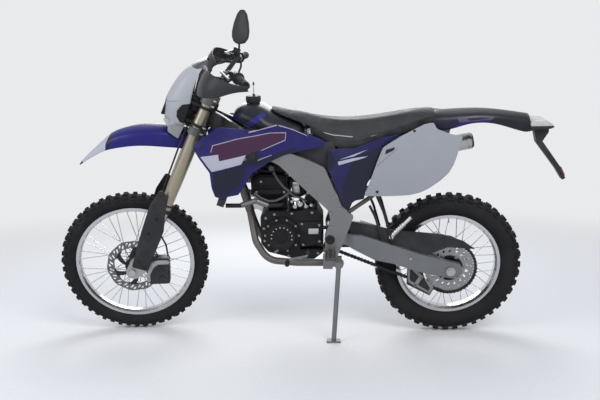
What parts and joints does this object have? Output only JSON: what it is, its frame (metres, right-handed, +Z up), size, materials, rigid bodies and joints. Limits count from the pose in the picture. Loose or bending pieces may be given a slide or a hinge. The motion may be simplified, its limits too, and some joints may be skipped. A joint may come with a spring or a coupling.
{
  "type": "dirt bike",
  "caption": "Enduro motorcycle parked on its side stand: turning fork and handlebar, spinning wire-spoked wheels, folding stand.",
  "frame": {"origin": "under the middle of the parked bike's bounding box, at ground level", "axes": "+X forward, along the line between the wheels' contact points; +Y to the rider's left, the side it leans to; +Z up"},
  "size_m": [2.3426, 0.8606, 1.4239],
  "materials": {
    "frame_silver": "satin",
    "tube_grey": "satin",
    "swingarm_grey": "satin",
    "engine_black": "satin",
    "black_metal": "satin",
    "steel": "brushed",
    "chain_black": "oiled",
    "silencer_metal": "brushed",
    "stand_grey": "satin",
    "fork_tube": "anodised",
    "fork_leg": "satin",
    "rim_silver": "polished",
    "tyre": "matt",
    "black_rubber": "matt",
    "black_plastic": "satin",
    "blue_plastic": "gloss",
    "tank_blue": "gloss",
    "white_plastic": "gloss",
    "seat_grey": "grained",
    "lens": "clear",
    "tail_lens": "gloss"
  },
  "bodies": {
    "chassis": {"main_frame": "frame_silver", "cradle": "tube_grey", "subframe": "tube_grey", "pivot_caps": "black_metal", "crankcase": "engine_black", "engine_cylinder": "engine_black", "engine_head": "engine_black", "engine_covers": "engine_black", "exhaust_pipe": "steel", "silencer": "silencer_metal", "radiators": "silencer_metal", "coolant_hose": "black_rubber", "carburettor": "steel", "fuel_tank": "tank_blue", "tank_cap": "black_plastic", "seat": "seat_grey", "tail_lamp": "tail_lens", "plate_bracket": "black_plastic", "swingarm": "swingarm_grey", "rear_axle": "steel", "chain": "chain_black", "chain_guards": "black_plastic", "rear_caliper": "swingarm_grey", "rear_shock": "black_metal", "rear_stays": "black_metal", "foot_levers": "black_metal", "footpegs": "black_metal", "shrouds": "blue_plastic", "side_panels": "blue_plastic", "number_plates": "white_plastic", "rear_fender": "blue_plastic", "front_sprocket": "steel"},
    "steering": {"fork_tubes": "fork_tube", "fork_legs": "fork_leg", "fork_guards": "black_plastic", "triple_clamps": "swingarm_grey", "front_axle": "steel", "front_caliper": "swingarm_grey", "brake_hose": "black_rubber", "handlebar": "black_metal", "grips": "black_rubber", "hand_controls": "swingarm_grey", "handguards": "black_plastic", "mirror": "black_plastic", "headlamp_mask": "white_plastic", "headlamp": "lens", "mask_straps": "black_rubber", "front_fender": "blue_plastic"},
    "front_wheel": {"front_wheel": "rim_silver", "front_tyre": "tyre", "front_disc": "steel"},
    "rear_wheel": {"rear_wheel": "rim_silver", "rear_tyre": "tyre", "rear_disc": "steel", "rear_sprocket": "steel"},
    "side_stand": {"side_stand": "stand_grey"}
  },
  "joints": [
    {"name": "steering_turn", "type": "hinge", "parent": "chassis", "child": "steering", "pos_m": [0.4336, -0.03524, 1.0465], "axis": [-0.4215, 0.1644, 0.8918], "range_deg": [-49.6, 34.4]},
    {"name": "front_wheel_spin", "type": "hinge", "parent": "steering", "child": "front_wheel", "pos_m": [0.82266, -0.15774, 0.34357], "axis": [-0.1201, 0.9646, -0.2346], "continuous": true},
    {"name": "rear_wheel_spin", "type": "hinge", "parent": "chassis", "child": "rear_wheel", "pos_m": [-0.66226, -0.16628, 0.33731], "axis": [-0.0002, 0.9834, -0.1814], "continuous": true},
    {"name": "side_stand_fold", "type": "hinge", "parent": "chassis", "child": "side_stand", "pos_m": [-0.15173, 0.00603, 0.35576], "axis": [0.0846, 0.9964, -0.0027], "range_deg": [0, 104.2]}
  ]
}
